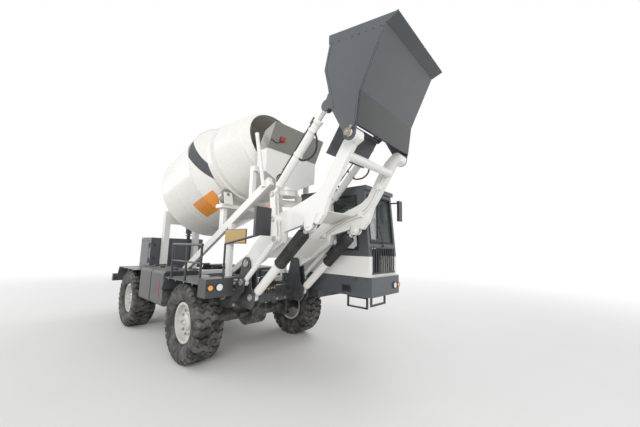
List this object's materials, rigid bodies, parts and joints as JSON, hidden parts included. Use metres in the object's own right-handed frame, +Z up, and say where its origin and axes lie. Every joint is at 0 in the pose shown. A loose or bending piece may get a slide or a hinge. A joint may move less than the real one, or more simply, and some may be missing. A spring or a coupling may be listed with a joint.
{
  "type": "self-loading concrete mixer",
  "caption": "Wheeled self-loading concrete mixer with a tilted drum, a front bucket on a raised twin-arm boom and a side cab.",
  "frame": {"origin": "on the ground below the middle of the whole machine", "axes": "+X forward towards the bucket, +Y to the machine's left, +Z up"},
  "size_m": [7.1535, 2.47, 3.9675],
  "materials": {
    "frame_paint": "satin",
    "white_paint": "gloss",
    "grey_paint": "satin",
    "black_paint": "satin",
    "rim_paint": "satin",
    "rod_chrome": "polished",
    "race_steel": "machined",
    "cast_metal": "painted",
    "glass": "clear",
    "dark_trim": "matte",
    "bellows_rubber": "matte",
    "lamp_lens": "clear",
    "tyre": "matte"
  },
  "bodies": {
    "chassis": {"chassis_frame": "frame_paint", "boom_stand": "frame_paint", "axles": "frame_paint", "drum_cradle": "white_paint", "drum_drive": "cast_metal", "hopper": "white_paint", "cab_skirt": "grey_paint", "cab_belt": "white_paint", "cab_upper": "grey_paint", "cab_glass": "glass", "cab_interior": "dark_trim", "cab_guard": "black_paint", "cab_step": "black_paint", "engine_block": "cast_metal", "engine_hood": "grey_paint", "exhaust": "black_paint", "side_tanks": "frame_paint", "fenders": "frame_paint", "handrail": "black_paint", "mirrors": "black_paint", "lamps": "lamp_lens"},
    "drum": {"drum_shell": "white_paint", "drum_race": "race_steel"},
    "drum_roller_right": {"drum_roller_right": "race_steel"},
    "drum_roller_left": {"drum_roller_left": "race_steel"},
    "boom": {"boom": "white_paint"},
    "rockers": {"rockers": "white_paint"},
    "lower_links": {"lower_links": "white_paint"},
    "lift_barrels": {"lift_barrels": "white_paint"},
    "lift_rods": {"lift_rods": "rod_chrome", "lift_bellows": "bellows_rubber"},
    "tilt_barrels": {"tilt_barrels": "white_paint"},
    "tilt_rods": {"tilt_rods": "rod_chrome"},
    "bucket": {"bucket": "grey_paint"},
    "bucket_gate": {"bucket_gate": "grey_paint"},
    "cab_door": {"cab_door": "grey_paint", "door_glass": "glass"},
    "hood_door": {"hood_door": "grey_paint"},
    "discharge_chute": {"discharge_chute": "white_paint"},
    "front_left_knuckle": {"front_left_knuckle": "frame_paint"},
    "front_left_wheel": {"front_left_rim": "rim_paint", "front_left_tyre": "tyre"},
    "front_right_knuckle": {"front_right_knuckle": "frame_paint"},
    "front_right_wheel": {"front_right_rim": "rim_paint", "front_right_tyre": "tyre"},
    "rear_left_knuckle": {"rear_left_knuckle": "frame_paint"},
    "rear_left_wheel": {"rear_left_rim": "rim_paint", "rear_left_tyre": "tyre"},
    "rear_right_knuckle": {"rear_right_knuckle": "frame_paint"},
    "rear_right_wheel": {"rear_right_rim": "rim_paint", "rear_right_tyre": "tyre"}
  },
  "joints": [
    {"name": "boom_lift", "type": "hinge", "parent": "chassis", "child": "boom", "pos_m": [1.322, -0.26, 1.39], "axis": [0, -1, 0], "range_deg": [-68, 6]},
    {"name": "link_swing", "type": "hinge", "parent": "chassis", "child": "lower_links", "pos_m": [1.362, -0.26, 1.155], "axis": [0, -1, 0], "range_deg": [-68, 6]},
    {"name": "rocker_swing", "type": "hinge", "parent": "boom", "child": "rockers", "pos_m": [1.922, -0.26, 1.945], "axis": [0, -1, 0], "range_deg": [-6, 68]},
    {"name": "lift_barrel_swing", "type": "hinge", "parent": "chassis", "child": "lift_barrels", "pos_m": [1.452, -0.26, 0.965], "axis": [0, -1, 0], "range_deg": [-73.1, 6.5]},
    {"name": "lift_rod_stroke", "type": "slide", "parent": "lift_barrels", "child": "lift_rods", "axis": [0.7367, 0, 0.6762], "range_m": [-0.489, 0.0435]},
    {"name": "tilt_barrel_swing", "type": "hinge", "parent": "rockers", "child": "tilt_barrels", "pos_m": [1.887, -0.26, 2.25], "axis": [0, -1, 0], "range_deg": [-69.4, 6.2]},
    {"name": "tilt_rod_stroke", "type": "slide", "parent": "tilt_barrels", "child": "tilt_rods", "axis": [0.6948, 0, 0.7192], "range_m": [-0.0305, 0.3435]},
    {"name": "bucket_tilt", "type": "hinge", "parent": "boom", "child": "bucket", "pos_m": [3.022, -0.26, 2.725], "axis": [0, -1, 0], "range_deg": [-40, 0]},
    {"name": "gate_swing", "type": "hinge", "parent": "bucket", "child": "bucket_gate", "pos_m": [2.791, -0.26, 2.988], "axis": [0, -1, 0], "range_deg": [-15, 82]},
    {"name": "drum_spin", "type": "hinge", "parent": "chassis", "child": "drum", "pos_m": [0.252, 0, 3.19], "axis": [0.9659, 0, 0.2588], "continuous": true},
    {"name": "roller_right_spin", "type": "hinge", "parent": "chassis", "child": "drum_roller_right", "pos_m": [0.29394, -0.538, 2.43462], "axis": [0.9659, 0, 0.2588], "continuous": true},
    {"name": "roller_left_spin", "type": "hinge", "parent": "chassis", "child": "drum_roller_left", "pos_m": [0.29394, 0.538, 2.43462], "axis": [0.9659, 0, 0.2588], "continuous": true},
    {"name": "steer_front_left", "type": "hinge", "parent": "chassis", "child": "front_left_knuckle", "pos_m": [0.452, 0.74, 0.5375], "axis": [0, 0, 1], "range_deg": [-28, 28]},
    {"name": "front_left_wheel_spin", "type": "hinge", "parent": "front_left_knuckle", "child": "front_left_wheel", "pos_m": [0.452, 1, 0.5375], "axis": [0, 1, 0], "continuous": true},
    {"name": "steer_front_right", "type": "hinge", "parent": "chassis", "child": "front_right_knuckle", "pos_m": [0.452, -0.74, 0.5375], "axis": [0, 0, 1], "range_deg": [-28, 28]},
    {"name": "front_right_wheel_spin", "type": "hinge", "parent": "front_right_knuckle", "child": "front_right_wheel", "pos_m": [0.452, -1, 0.5375], "axis": [0, 1, 0], "continuous": true},
    {"name": "steer_rear_left", "type": "hinge", "parent": "chassis", "child": "rear_left_knuckle", "pos_m": [-2.098, 0.74, 0.5375], "axis": [0, 0, 1], "range_deg": [-28, 28]},
    {"name": "rear_left_wheel_spin", "type": "hinge", "parent": "rear_left_knuckle", "child": "rear_left_wheel", "pos_m": [-2.098, 1, 0.5375], "axis": [0, 1, 0], "continuous": true},
    {"name": "steer_rear_right", "type": "hinge", "parent": "chassis", "child": "rear_right_knuckle", "pos_m": [-2.098, -0.74, 0.5375], "axis": [0, 0, 1], "range_deg": [-28, 28]},
    {"name": "rear_right_wheel_spin", "type": "hinge", "parent": "rear_right_knuckle", "child": "rear_right_wheel", "pos_m": [-2.098, -1, 0.5375], "axis": [0, 1, 0], "continuous": true},
    {"name": "cab_door_swing", "type": "hinge", "parent": "chassis", "child": "cab_door", "pos_m": [1.464, 1.192, 1.7], "axis": [0, 0, 1], "range_deg": [0, 100]},
    {"name": "hood_door_swing", "type": "hinge", "parent": "chassis", "child": "hood_door", "pos_m": [-2.91, -0.632, 1.4], "axis": [0, 0, 1], "range_deg": [0, 100]},
    {"name": "chute_swivel", "type": "hinge", "parent": "chassis", "child": "discharge_chute", "pos_m": [1.212, 0, 2.45], "axis": [0, 0, 1], "range_deg": [-50, 40]}
  ],
  "couplings": [
    {"joint": "steer_front_right", "follows": "steer_front_left", "ratio": 1},
    {"joint": "steer_rear_left", "follows": "steer_front_left", "ratio": -1},
    {"joint": "steer_rear_right", "follows": "steer_front_left", "ratio": -1},
    {"joint": "link_swing", "follows": "boom_lift", "ratio": 1},
    {"joint": "rocker_swing", "follows": "boom_lift", "ratio": -1},
    {"joint": "lift_barrel_swing", "follows": "boom_lift", "ratio": 1.074},
    {"joint": "lift_rod_stroke", "follows": "boom_lift", "m_per_rad": 0.4116},
    {"joint": "tilt_barrel_swing", "follows": "boom_lift", "ratio": 1.019},
    {"joint": "tilt_rod_stroke", "follows": "boom_lift", "m_per_rad": -0.289}
  ]
}
